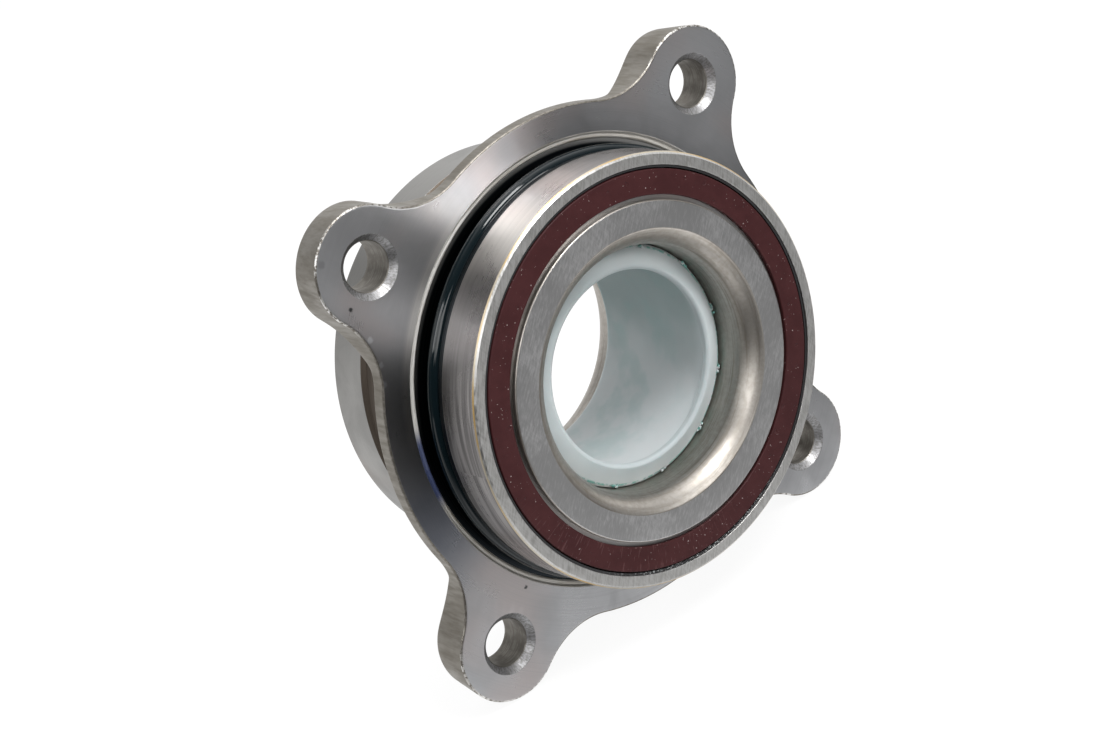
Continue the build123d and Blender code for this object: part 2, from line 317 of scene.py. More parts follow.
# Painted shade: the neck behind the flange is coloured dark brown, as if in the flange's shade.
neck_steel_in_painted_shade = Finish("raw neck in painted shade", (0.12, 0.10, 0.08), 1.0, 0.55)
neck_marks = neck_steel_in_painted_shade.rings(2.5)
neck_mix = neck_steel_in_painted_shade.between(neck_marks, 0.3, 0.7)
neck_steel_in_painted_shade.colour(neck_steel_in_painted_shade.blend(neck_mix, (0.12, 0.10, 0.082), (0.07, 0.057, 0.046)))
neck_steel_in_painted_shade.bump(neck_marks, 0.02)

worn_edge = Finish("worn edge", (0.42, 0.40, 0.375), 1.0, 0.42)
worn_chips = worn_edge.noise(worn_edge.mm, 1.3, 4, 0.6)
worn_patch = worn_edge.between(worn_edge.noise(worn_edge.mm, 0.09, 1, 0.5), 0.38, 0.5)
worn_ends = worn_edge.times(worn_edge.between(worn_edge.radius(), 62.0, 68.0), worn_patch)
worn_bright = worn_edge.times(worn_ends, worn_edge.between(worn_chips, 0.58, 0.44))
worn_tone = worn_edge.blend(worn_edge.between(worn_chips, 0.4, 0.6), (0.25, 0.235, 0.21), (0.17, 0.155, 0.135))
worn_edge.colour(worn_edge.blend(worn_bright, worn_tone, (0.70, 0.69, 0.67)))
worn_edge.bump(worn_chips, 0.02)


def ground_face(name, tone, rough, depth):
    """A face ground flat, with short strokes one way and, in patches, a few across them."""
    finish = Finish(name, tone, 1.0, rough)
    strokes = finish.lines(52, 2.4, 0.45, 4.0)
    cross_lines = finish.lines(118, 2.2, 0.30, 3.0)
    patch = finish.noise(finish.mm, 0.06, 2, 0.5)
    both = finish.math("ADD", finish.times(strokes, 0.8),
                       finish.times(cross_lines, finish.between(patch, 0.35, 0.65, 0.0, 0.3)))
    finish.colour(finish.blend(finish.between(both, 0.38, 0.68), toned(tone, 0.86), toned(tone, 1.16)))
    finish.rough(finish.between(both, 0.35, 0.7, rough * 0.85, rough * 1.15))
    finish.bump(both, depth)
    return finish.material


end_steel = Finish("ground end face", (0.60, 0.595, 0.58), 1.0, 0.38)
end_lines = end_steel.lines(62, 2.8, 0.3, 4.0)
end_cross = end_steel.lines(118, 2.4, 0.3, 3.0)
end_marks = end_steel.math("ADD", end_steel.times(end_lines, 0.7), end_steel.times(end_cross, 0.3))
end_steel.colour(end_steel.blend(end_steel.between(end_marks, 0.42, 0.62), (0.55, 0.545, 0.535), (0.42, 0.415, 0.40)))
end_steel.rough(end_steel.between(end_marks, 0.4, 0.65, 0.45, 0.28))
end_steel.bump(end_marks, 0.013)
end_face = end_steel.material

hole_steel = Finish("drilled hole", (0.27, 0.25, 0.22), 1.0, 0.5)
hole_marks = hole_steel.noise(hole_steel.at(hole_steel.times(hole_steel.y, 3.0)), 1.0, 3, 0.6)
hole_patch = hole_steel.noise(hole_steel.mm, 0.5, 4, 0.6)
hole_tone = hole_steel.blend(hole_steel.between(hole_patch, 0.35, 0.65), (0.30, 0.29, 0.265), (0.17, 0.16, 0.145))
hole_steel.colour(hole_steel.blend(hole_steel.between(hole_marks, 0.35, 0.65), hole_tone, (0.16, 0.145, 0.125)))
hole_steel.bump(hole_marks, 0.015)

bolt_circle_r = 65.0
countersink = Finish("countersunk edge", (0.45, 0.45, 0.46), 1.0, 0.4)
hole_at = bolt_circle_r * math.sqrt(0.5)
from_hole = [countersink.math("SUBTRACT", countersink.math("ABSOLUTE", place), hole_at)
             for place in (countersink.z, countersink.x)]
chatter_turn = countersink.math("ARCTAN2", *from_hole)
chatter_place = countersink.at(countersink.times(chatter_turn, 16.0), countersink.times(countersink.y, 1.5))
chatter = countersink.noise(chatter_place, 1.0, 4, 0.7)
chatter_mix = countersink.between(chatter, 0.35, 0.65)
countersink.colour(countersink.blend(chatter_mix, (0.38, 0.38, 0.39), (0.20, 0.195, 0.19)))
countersink.rough(countersink.between(chatter, 0.3, 0.7, 0.38, 0.52))
countersink.bump(chatter, 0.012)

# Painted highlight: the relief's turned edge gets a light, half-metallic colour that stands in for its reflection.
edge_with_painted_light = Finish("turned edge with painted highlight", (0.66, 0.65, 0.63), 0.35, 0.35)
edge_turn = edge_with_painted_light.turn()
edge_place = edge_with_painted_light.at(edge_with_painted_light.times(edge_turn, 5.0), edge_with_painted_light.times(edge_with_painted_light.radius(), 2.5))
edge_marks = edge_with_painted_light.noise(edge_place, 1.0, 3, 0.6)
edge_tone = edge_with_painted_light.blend(edge_with_painted_light.between(edge_marks, 0.4, 0.7), (0.62, 0.60, 0.56), (0.36, 0.33, 0.28))
# Painted highlight: cream on the upper left.
painted_highlight_share = edge_with_painted_light.times(edge_with_painted_light.between(edge_turn, 1.7, 2.1), edge_with_painted_light.between(edge_marks, 0.7, 0.4))
edge_tone = edge_with_painted_light.blend(painted_highlight_share, edge_tone, (0.95, 0.93, 0.89))
# Painted reflection: navy at the left, where the edge reflects the dark.
painted_dark_reflection_share = edge_with_painted_light.between(edge_with_painted_light.math("ABSOLUTE", edge_turn), 2.93, 3.03, 0.0, 0.9)
edge_tone = edge_with_painted_light.blend(painted_dark_reflection_share, edge_tone, (0.025, 0.05, 0.17))
edge_with_painted_light.colour(edge_tone)

gold_edge = Finish("heat-tinted chamfer", (0.45, 0.38, 0.25), 0.6, 0.35)
gold_patch = gold_edge.noise(gold_edge.at(gold_edge.times(gold_edge.turn(), 2.0)), 1.0, 3, 0.6)
gold_edge.colour(gold_edge.blend(gold_edge.between(gold_patch, 0.4, 0.6), (0.48, 0.44, 0.36), (0.50, 0.34, 0.14)))

# The groove is oiled steel, and its near-black colour is also painted shade.
groove_in_painted_shade = Finish("oiled groove in painted shade", (0.05, 0.05, 0.055), 1.0, 0.3)
groove_marks = groove_in_painted_shade.rings(4.0)
groove_mix = groove_in_painted_shade.between(groove_marks, 0.4, 0.65)
groove_tone = groove_in_painted_shade.blend(groove_mix, (0.012, 0.017, 0.021), (0.05, 0.056, 0.062))
# Painted light: on the upper side the groove's outer lip is lightened to the face's grey.
painted_light_on_groove_lip = groove_in_painted_shade.times(groove_in_painted_shade.between(groove_in_painted_shade.radius(), 47.8, 48.4),
                                groove_in_painted_shade.between(groove_in_painted_shade.z, 4.0, 24.0))
groove_in_painted_shade.colour(groove_in_painted_shade.blend(painted_light_on_groove_lip, groove_tone, (0.42, 0.415, 0.405)))

ring_finishes = [flange_steel, pilot_steel, end_face, forged.material, neck_steel_in_painted_shade.material, worn_edge.material,
                 hole_steel.material, countersink.material, gold_edge.material, land_steel, edge_with_painted_light.material,
                 groove_in_painted_shade.material]
FACE, PILOT, END, FORGED, NECK, EDGE, HOLE, SINK, GOLD, LAND, BRIGHT, GROOVE = range(12)

plate_thick, rim_thick, edge_round = 10.0, 3.5, 0.4
body_r, ear_r, web_r = 57.2, 13.0, 18.0
ear_angles = [math.radians(45 + 90 * k) for k in range(4)]
web_out, web_in = body_r + web_r, ear_r + web_r
web_x = (web_out**2 - web_in**2 + bolt_circle_r**2) / (2 * bolt_circle_r)
web_z = math.sqrt(web_out**2 - web_x**2)
web_on_body, web_on_ear = math.atan2(web_z, web_x), math.atan2(web_z, web_x - bolt_circle_r)


def about(x, z, angle):
    """A point of the first ear's own frame, turned about the bearing axis."""
    return x * math.cos(angle) - z * math.sin(angle), x * math.sin(angle) + z * math.cos(angle)


def flange_line(inset, depth=0.0):
    """The flange's outline, drawn in by inset, at a depth behind its face, as matching (x, z) points.
    The forging's ends are a little smaller behind, which lets it out of its die."""
    points = []
    for ear in ear_angles:
        one = []
        for k in range(65):                      # round the ear's end
            a = -web_on_ear + 2 * web_on_ear * k / 64
            beyond = (ear_r - inset) * math.cos(a)
            if beyond > 0:
                beyond *= 1 - 0.009 * depth
            one.append((bolt_circle_r + beyond, (ear_r - inset) * math.sin(a)))
        web = []
        for k in range(1, 32):
            a = math.pi + web_on_ear + (web_on_body - web_on_ear) * k / 32
            web.append((web_x + (web_r + inset) * math.cos(a), web_z + (web_r + inset) * math.sin(a)))
        one += web                               # down the web beside it
        for k in range(33):                      # along the body
            a = web_on_body + (math.pi / 2 - 2 * web_on_body) * k / 32
            one.append(((body_r - inset) * math.cos(a), (body_r - inset) * math.sin(a)))
        one += [(z, x) for x, z in reversed(web)]  # and up the next ear's web
        points += [about(x, z, ear) for x, z in one]
    return points


def soft_over(one, other, reach):
    """The higher of two heights, run together over a fillet of that reach."""
    return max(one, other) + max(reach - abs(one - other), 0.0)**2 / (4 * reach)


root_r, root_y, cone_fall = 50.6, 13.67, 0.6696  # the neck's fillet, and the slope of the cone behind it


def back_height(x, z):
    """How far the flange's back stands behind its face there: ears, and between them a thin cone."""
    r = math.hypot(x, z)
    cone = rim_thick + (56.8 - r) * cone_fall
    if r < 47.82:
        cone = root_y - math.sqrt(25 - (r - root_r)**2)
    ear = min(ear_angles, key=lambda e: abs(math.remainder(math.atan2(z, x) - e, 2 * math.pi)))
    along, over = about(x, z, -ear)
    beside = abs(over) - ear_r if along < bolt_circle_r else math.hypot(along - bolt_circle_r, over) - ear_r
    slope = plate_thick - edge_round - beside
    thick = -soft_over(-plate_thick, -slope, 0.9)
    return soft_over(soft_over(cone, thick, 1.6), rim_thick, 0.8)


def ring_loop(shape, points, height):
    """A closed loop of points. The height is one for all, or worked out for each."""
    return [shape.verts.new((x / 1000, (height(x, z) if callable(height) else height) / 1000, z / 1000))
            for x, z in points]


def skin(shape, one, other, finish):
    """Faces between two loops with as many points."""
    for k in range(len(one)):
        face = shape.faces.new((one[k], one[(k + 1) % len(one)], other[(k + 1) % len(one)], other[k]))
        face.smooth = True
        face.material_index = finish


def span(shape, loops, within, grid, height, finish_of):
    """A face over the XZ plane between closed loops, with points of a grid in it where it isn't flat."""
    points, edges = [], []
    for loop in loops:
        first = len(points)
        points += [(v, Vector((v.co.x * 1000, v.co.z * 1000))) for v in loop]
        edges += [(first + k, first + (k + 1) % len(loop)) for k in range(len(loop))]
    points += [(None, Vector(place)) for place in grid]
    flat, _, faces, origin, _, _ = delaunay_2d_cdt([place for _, place in points], edges, [], 0, 1e-5)
    verts = []
    for place, came in zip(flat, origin):
        known = next((points[k][0] for k in came if points[k][0]), None)
        verts.append(known or shape.verts.new((place.x / 1000, height(place.x, place.y) / 1000, place.y / 1000)))
    for corners in faces:
        centre = sum((flat[k] for k in corners), Vector((0, 0))) / 3
        if within(centre):
            face = shape.faces.new([verts[k] for k in corners])
            face.smooth = True
            face.material_index = finish_of(centre)
    bmesh.ops.delete(shape, geom=[v for v in verts if not v.link_faces], context="VERTS")


relief_r, groove_r, groove_side_y, groove_wall_y = 48.9, 44.4, 0.95, -4.9
step_r, step_y, dark_end_y = 46.9, -7.6, -6.4
pilot_r, pilot_end_y = 47.2, -18.3
seal_bore_r, seal_seat_y, bore_r = 44.35, -11.9, 41.5
pitch_r, race_r, row_y, rows_middle = 36.2, 5.68, 1.35, 10.35
land_r, land_end_y, neck_r, neck_end_y = 46.55, 36.8, 45.6, 24.6
foot_r = 48.3


def barrel_finish(r, y):
    """Which finish the turned barrel has, at a place on its outline."""
    if y > land_end_y - 0.1 or (r < 46.9 and y < pilot_end_y + 0.05 and r > 44.3):
        return END
    if r < seal_bore_r + 0.01:
        return PILOT
    if y < pilot_end_y + 0.75 or y > land_end_y - 0.7:
        return END if y < pilot_end_y + 0.3 or y > 0 else GOLD
    if y < 0.02 and r > relief_r + 1.6:
        return FACE
    if y < 0.8 and r > relief_r - 0.5:
        return BRIGHT
    if y < 1 and r > 44.3:
        return GROOVE if r < 47 and y > dark_end_y else PILOT
    return NECK if y < neck_end_y + 0.9 else LAND


outer = bmesh.new()
relief = [(50.7, 0.0, 0), (50.4, 0.0, 0.3), (49.95, 0.45, 0.15), (49.3, 0.45, 0.3), (relief_r, 0.85, 0.2),
          (relief_r, groove_side_y, 0)]
groove = [(groove_r, groove_side_y, 0.3), (groove_r, groove_wall_y, 0.3), (step_r, groove_wall_y, 0.15),
          (step_r, dark_end_y, 0), (step_r, step_y, 0.1)]
pilot = [(pilot_r, -7.9, 0.1), (pilot_r, -17.7, 0.08), (46.95, -17.95, 0.05), (46.6, pilot_end_y, 0.1)]
seal_seat = [(seal_bore_r, pilot_end_y, 0.1), (seal_bore_r, seal_seat_y, 0), (bore_r, seal_seat_y, 0)]
raceway = [(pitch_r + race_r * math.cos(math.radians(a)), row_y + race_r * math.sin(math.radians(a)), 0)
           for a in (-21.08, -14, -7, 0, 7, 14, 21, 28, 35, 42, 49, 55, 60.46)]
other_raceway = [(r, 2 * rows_middle - y, 0) for r, y, _ in reversed(raceway)]
other_seat = [(bore_r, 30.4, 0), (seal_bore_r, 30.4, 0), (seal_bore_r, land_end_y, 0.1)]
land = [(45.9, land_end_y, 0.12), (land_r, 36.15, 0.12), (land_r, 25.55, 0.12), (neck_r, neck_end_y, 0.12),
        (neck_r, root_y, 0)]
profile = rounded(relief + groove + pilot + seal_seat + raceway + other_raceway + other_seat + land)
profile += [Vector((root_r - 5 * math.cos(a), root_y - 5 * math.sin(a)))
            for a in [math.acos((root_r - 46.4) / 5) * k / 6 for k in range(1, 7)]]
profile += [Vector((r, plate_thick)) for r in (46.7, 47.0, 47.4, 47.82, foot_r)]
lathe_rings = lathe(outer, profile, 360, False, barrel_finish)
for corner in sum(lathe_rings[-6:], []):         # the barrel's foot follows the flange's back
    corner.co.y = back_height(corner.co.x * 1000, corner.co.z * 1000) / 1000

levels = [(edge_round + 0.3, 0.0, FACE), (edge_round, 0.0, FACE)]
levels += [(edge_round * (1 - math.sin(a)), edge_round * (1 - math.cos(a)), EDGE)
           for a in [math.pi / 6 * k for k in range(1, 4)]]
wall = [(0.0, k / 8, FORGED) for k in range(1, 8)]
behind = [(edge_round * (1 - math.cos(a)), edge_round * (1 - math.sin(a)), FORGED)
          for a in [math.pi / 6 * k for k in range(4)]]
front_line = flange_line(0)
wall_end = [back_height(x, z) for x, z in front_line]
loops = [ring_loop(outer, flange_line(inset), y) for inset, y, _ in levels]
for _, share, _ in wall:
    loops.append([outer.verts.new((x / 1000, (edge_round + (end - 2 * edge_round) * share) / 1000, z / 1000))
                  for (x, z), end in zip(flange_line(0, plate_thick * share), wall_end)])
for inset, short, _ in behind:
    loops.append([outer.verts.new((x / 1000, (end - short) / 1000, z / 1000))
                  for (x, z), end in zip(flange_line(inset, plate_thick), wall_end)])
for (one, other), (_, _, finish) in zip(zip(loops, loops[1:]), (levels + wall + behind)[1:]):
    skin(outer, one, other, finish)

hole_profile = [(6.95, 0.0), (6.8, 0.12), (5.62, 1.25), (5.5, 1.42)]
hole_profile += [(5.42 if k % 2 else 5.34, 1.6 + k * 0.4) for k in range(20)]
hole_profile += [(5.42, 9.6), (5.85, 10.0)]
hole_centres = [Vector(about(bolt_circle_r, 0, ear)) for ear in ear_angles]
front_holes, back_holes = [], []
for centre in hole_centres:
    hole = []
    for r, y in hole_profile:
        ring = [(centre.x + r * math.cos(2 * math.pi * k / 72), centre.y + r * math.sin(2 * math.pi * k / 72))
                for k in range(72)]
        hole.append(ring_loop(outer, ring, y))
    for i, (one, other) in enumerate(zip(hole, hole[1:])):
        skin(outer, one, other, SINK if i < 3 else HOLE)
    front_holes.append(hole[0])
    back_holes.append(hole[-1])


def clear_of_holes(place, front=True):
    return min((place - centre).length for centre in hole_centres) > (6.94 if front else 5.84)


def inside(place, line):
    """Whether a point lies within a closed line."""
    crossings = 0
    for (x0, z0), (x1, z1) in zip(line, line[1:] + line[:1]):
        if (z0 > place.y) != (z1 > place.y) and place.x < x0 + (place.y - z0) * (x1 - x0) / (z1 - z0):
            crossings += 1
    return crossings % 2 == 1


front_edge = flange_line(edge_round + 0.3)
back_edge = flange_line(edge_round, plate_thick)
front_grid = [about(r, 0, math.pi / 60 * (k + 0.5 * (i % 2)))
              for i, r in enumerate((51.6, 53.4, 55.2)) for k in range(120)]
span(outer, [loops[0], lathe_rings[0]] + front_holes,
     lambda place: place.length > 50.75 and clear_of_holes(place) and inside(place, front_edge),
     front_grid, lambda x, z: 0.0, lambda place: FACE)
inner_line = flange_line(1.1, plate_thick)
back_grid = []
for i in range(-96, 97):
    for j in range(-96, 97):
        place = Vector(((i + 0.5 * (j % 2)) * 0.8, j * 0.8))
        if place.length > foot_r + 0.5 and clear_of_holes(place, False) and inside(place, inner_line):
            if min((place - centre).length for centre in hole_centres) > 6.4:
                back_grid.append(place)
span(outer, [loops[-1], lathe_rings[-1]] + back_holes,
     lambda place: place.length > foot_r + 0.05 and clear_of_holes(place, False) and inside(place, back_edge),
     back_grid, back_height, lambda place: FORGED)
make_piece("outer_ring_dressed", outer, ring_finishes, "outer", ["outer_ring"], 40)


# O-ring: a black rubber cord ring in the groove at the foot of the pilot, seated on the groove's
# floor and standing just proud of the pilot, so that it seals in the knuckle's mouth.
rubber = Finish("smooth black rubber", (0.004, 0.008, 0.010), 0.0, 0.1)
rubber.shader.inputs["Specular IOR Level"].default_value = 0.32
rubber_film = rubber.noise(rubber.mm, 0.35, 3, 0.6)
rubber.rough(rubber.between(rubber_film, 0.3, 0.75, 0.06, 0.14))
moulding_lines = rubber.noise(rubber.at(rubber.times(rubber.y, 1.7), rubber.times(rubber.turn(), 0.8)), 1.0, 2, 0.5)
rubber.bump(moulding_lines, 0.06)
cord_d = 3.5
cord_r, cord_y = 48.0 - cord_d / 2, -3.05
cord = bmesh.new()
lathe(cord, [(cord_r + cord_d / 2 * math.cos(a), cord_y + cord_d / 2 * math.sin(a))
             for a in [2 * math.pi * k / 32 for k in range(32)]])
make_piece("o_ring_rubber", cord, [rubber.material], "outer", ["o_ring"])


# Inner rings: two hardened steel rings, back to back, bored to 54 mm and ground all over, each with
# one raceway and a big rounded corner at its open end. The knuckle-side one shows its face.
inner_face = ground_face("ground ring face", (0.46, 0.458, 0.46), 0.34, 0.014)
hone_finish = Finish("honed bore corner", (0.42, 0.39, 0.355), 1.0, 0.42)
hone_lines = hone_finish.rings(2.2, 1.2, 4.0)
hone_cloud = hone_finish.noise(hone_finish.mm, 0.9, 4, 0.6)
hone_tone = hone_finish.blend(hone_finish.between(hone_cloud, 0.35, 0.65), (0.44, 0.415, 0.385), (0.385, 0.36, 0.325))
hone_finish.colour(hone_finish.blend(hone_finish.between(hone_lines, 0.42, 0.72), hone_tone, (0.27, 0.245, 0.215)))
hone_finish.rough(hone_finish.between(hone_cloud, 0.3, 0.7, 0.39, 0.44))
hone_finish.bump(hone_lines, 0.006)
hone_finish.bump(hone_finish.noise(hone_finish.mm, 3.0, 3, 0.65), 0.003)
honed = hone_finish.material
ring_bore_r, ring_r, ring_front = 27.0, 37.0, -18.6
corner_r, corner_cut = 6.6, 0.5


def inner_ring(name, node, flip):
    corner_y = ring_front + corner_r - corner_cut
    low = math.asin((corner_r - corner_cut) / corner_r)
    outline = [(ring_bore_r, rows_middle)]
    for k in range(25):                          # the rounded corner of the bore
        a = math.pi + low * k / 24
        outline.append((ring_bore_r + corner_r + corner_r * math.cos(a), corner_y + corner_r * math.sin(a)))
    outline += [(ring_r - 0.38, ring_front), (ring_r - 0.25, ring_front + 0.03), (ring_r - 0.1, ring_front + 0.12),
                (ring_r - 0.03, ring_front + 0.25), (ring_r, ring_front + 0.4), (ring_r, -9.4)]
    high_r, low_r = 35.4, 31.5
    outline.append((high_r, -7.8))
    start = math.acos(-(pitch_r - high_r) / race_r)
    end = 2 * math.pi - math.acos(-(pitch_r - low_r) / race_r)
    for k in range(23):                          # the raceway
        a = start + (end - start) * k / 22
        outline.append((pitch_r + race_r * math.cos(a), row_y - race_r * math.sin(a)))
    outline += [(low_r, rows_middle - 0.4), (low_r - 0.4, rows_middle)]
    if flip:
        outline = [(r, 2 * rows_middle - y) for r, y in outline]
    shape = bmesh.new()

    def finish_of(r, y):
        from_end = min(y - ring_front, 2 * rows_middle - ring_front - y)
        return 0 if from_end < 0.02 and r > 31 else 1

    lathe(shape, outline, 288, True, finish_of)
    return make_piece(name, shape, [inner_face, honed], "inner", [node])


inner_ring("inner_ring_knuckle_side", "inner_ring_inboard", False)
inner_ring("inner_ring_wheel_side", "inner_ring_outboard", True)


# Seals: on each side a pressed sheet case in the outer ring's bore, with rubber lips moulded on it,
# and a pressed thrower on the inner ring. The case's edge shows as a black rim round the encoder.
case_rubber = Finish("rubber-coated case", (0.014, 0.014, 0.015), 0.0, 0.42)
case_rubber.bump(case_rubber.noise(case_rubber.mm, 1.2, 3, 0.6), 0.02)
case_low = case_rubber.between(case_rubber.off(case_rubber.turn(), -1.6), 0.75, 0.15)
case_grit = case_rubber.between(case_rubber.noise(case_rubber.mm, 2.0, 3, 0.65), 0.56, 0.60)
case_fleck = case_rubber.times(case_grit, case_low)
case_rubber.colour(case_rubber.blend(case_fleck, (0.014, 0.014, 0.015), (0.50, 0.52, 0.52)))
thrower_steel = turned_steel("pressed thrower", (0.36, 0.35, 0.345), 0.33, 0.5, 4.0, 0.002)
for side in ("inboard", "outboard"):
    for node, finish in ((f"seal_case_{side}", case_rubber.material), (f"seal_lip_{side}", rubber.material),
                         (f"slinger_{side}", thrower_steel)):
        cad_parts[node].data.materials.clear()
        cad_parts[node].data.materials.append(finish)


# Encoder: a maroon magnetised rubber ring, moulded and bonded on the thrower's face. It is handled
# and stored without a cover, so it carries dust specks and light scratches across its face.
maroon = Finish("maroon encoder rubber", (0.055, 0.014, 0.015), 0.0, 0.42)
maroon.shader.inputs["Specular IOR Level"].default_value = 0.18
maroon_cloud = maroon.noise(maroon.mm, 0.25, 4, 0.6)
maroon_specks = maroon.noise(maroon.mm, 1.9, 2, 0.5)
maroon_place = maroon.at(maroon.times(maroon.turn(), 75.0), maroon.times(maroon.radius(), 0.22))
maroon_rays = maroon.noise(maroon_place, 1.0, 2, 0.5)
maroon_base = maroon.blend(maroon.between(maroon_cloud, 0.3, 0.7), (0.050, 0.0135, 0.0145), (0.040, 0.010, 0.011))
scuffed = maroon.between(maroon.off(maroon.turn(), -2.1), 0.95, 0.35)
maroon_scratch = maroon.times(maroon.between(maroon_rays, 0.60, 0.68), scuffed)
maroon_base = maroon.blend(maroon.times(maroon_scratch, 0.6), maroon_base, (0.11, 0.05, 0.05))
maroon.colour(maroon.blend(maroon.between(maroon_specks, 0.715, 0.76), maroon_base, (0.42, 0.34, 0.33)))
maroon.rough(maroon.between(maroon_rays, 0.55, 0.75, 0.46, 0.30))
maroon.bump(maroon_scratch, 0.04)
maroon_dents = maroon.noise(maroon.vector("ADD", maroon.mm, (7.0, 0.0, 3.0)), 0.62, 1, 0.4)
maroon.bump(maroon.between(maroon_dents, 0.72, 0.77), -0.12)
encoder = bmesh.new()
lathe(encoder, rounded([(38.0, -17.2, 0), (38.0, -18.2, 0.25), (43.5, -18.2, 0.25), (43.5, -17.2, 0)]))
make_piece("encoder_face", encoder, [maroon.material], "inner", ["encoder_ring"])


# Transport sleeve: a thin milky plastic tube pushed into the bore, which keeps the two inner rings
# together until the hub is pressed in. Its mouth is dished, and small torn nibs stand round its rim.
milk = Finish("milky plastic", (0.80, 0.86, 0.87), 0.0, 0.6)
milk.shader.inputs["Specular IOR Level"].default_value = 0.15
milk.shader.inputs["Subsurface Weight"].default_value = 0.5
milk.shader.inputs["Subsurface Radius"].default_value = (0.8, 1.0, 1.0)
milk.shader.inputs["Subsurface Scale"].default_value = 0.003
milk_cloud = milk.noise(milk.mm, 0.08, 2, 0.5)
# Painted shade: the tube's inside wall, a few millimetres in from the mouth, darkens to teal-grey, most towards the
# top.
milk_height = milk.math("ADD", milk.z, milk.times(milk_cloud, 8.0))
milk_wall_painted_shade = milk.blend(milk.between(milk_height, -14.0, 6.0), (0.54, 0.56, 0.57), (0.21, 0.27, 0.27))
milk_depth = milk.times(milk.between(milk.y, -7.0, -1.0), milk.between(milk.radius(), 25.2, 24.9))
milk_rim = milk.blend(milk.between(milk_cloud, 0.3, 0.7), (0.60, 0.65, 0.66), (0.53, 0.58, 0.59))
milk_tone = milk.blend(milk_depth, milk_rim, milk_wall_painted_shade)
# Painted shade: the mouth's inner lip is darkened.
milk_tone = milk.blend(milk.between(milk.radius(), 22.6, 21.6), milk_tone, (0.42, 0.46, 0.47))
# Painted shade: soft teal patches on the wall, from the rim to 14 mm in.
milk_patch = milk.between(milk.noise(milk.mm, 0.10, 3, 0.55), 0.46, 0.66)
milk_painted_teal_shade = milk.times(milk_patch, milk.between(milk.y, -8.0, 14.0))
milk_tone = milk.blend(milk.times(milk_painted_teal_shade, 0.3), milk_tone, (0.24, 0.40, 0.39))
milk_edge = milk.times(milk.between(milk.radius(), 25.7, 26.2), milk.between(milk.y, -7.9, -8.5))
milk_torn = milk.times(milk.between(milk.noise(milk.mm, 0.9, 3, 0.6), 0.40, 0.56), milk_edge)
milk.colour(milk.blend(milk_torn, milk_tone, (0.16, 0.42, 0.37)))
milk.bump(milk.noise(milk.mm, 0.5, 3, 0.5), 0.02)
sleeve_r, sleeve_bore_r, sleeve_mouth_r, rim_r = 26.95, 25.0, 21.35, 26.75
rim_y, tail_y = -8.1, 30.1
sleeve = bmesh.new()
lathe(sleeve, rounded([
    (sleeve_r, rim_y + 2.0, 0.3), (rim_r, rim_y + 0.3, 0.3), (rim_r - 0.5, rim_y - 0.3, 0.35),
    (sleeve_mouth_r + 0.6, rim_y - 2.5, 0.6), (sleeve_mouth_r, rim_y - 1.9, 0.35),
    (sleeve_mouth_r, rim_y - 0.6, 0.5), (sleeve_bore_r, rim_y + 2.5, 1.5), (sleeve_bore_r, tail_y, 0.3),
    (sleeve_r - 0.5, tail_y, 0.3), (sleeve_r, tail_y - 0.5, 0.3)], 6), 240)
ragged = random.Random(5)
for turn in [1 + 30 * k for k in range(12)]:
    for lump in range(7):
        a = math.radians(turn + ragged.uniform(-2.4, 2.4))
        out = Vector((math.cos(a), 0, math.sin(a)))
        middle = out * (rim_r - ragged.uniform(0.2, 0.7)) + Vector((0, rim_y - ragged.uniform(-0.1, 0.55), 0))
        wide, size = ragged.uniform(0.8, 1.6), ragged.uniform(0.25, 0.4)
        made = bmesh.ops.create_icosphere(sleeve, subdivisions=3, radius=1.0)
        for v in made["verts"]:
            bulge = size * (1 + 0.35 * noise.noise(v.co * 1.8 + Vector((turn, lump, 0))))
            across = out.cross(Vector((0, 1, 0)))
            v.co = (middle + (v.co + across * v.co.dot(across) * (wide - 1)) * bulge) / 1000
        for face in {f for v in made["verts"] for f in v.link_faces}:
            face.smooth = True
make_piece("sleeve_tube", sleeve, [milk.material], "sleeve", ["transport_sleeve"], 60)


# Cages and balls: a moulded nylon cage in each row, which the balls snap into, and polished
# steel balls of seven sixteenths of an inch. The seals hide them all.
nylon = Finish("moulded nylon", (0.62, 0.55, 0.40), 0.0, 0.45)
nylon.bump(nylon.noise(nylon.mm, 1.5, 3, 0.6), 0.01)
polished = Finish("polished ball steel", (0.70, 0.70, 0.71), 1.0, 0.08)
polished.rough(polished.between(polished.noise(polished.mm, 0.8, 2, 0.5), 0.3, 0.7, 0.05, 0.12))
for node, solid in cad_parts.items():
    if node.startswith(("cage_", "ball_")):
        solid.data.materials.clear()
        solid.data.materials.append(nylon.material if node.startswith("cage_") else polished.material)


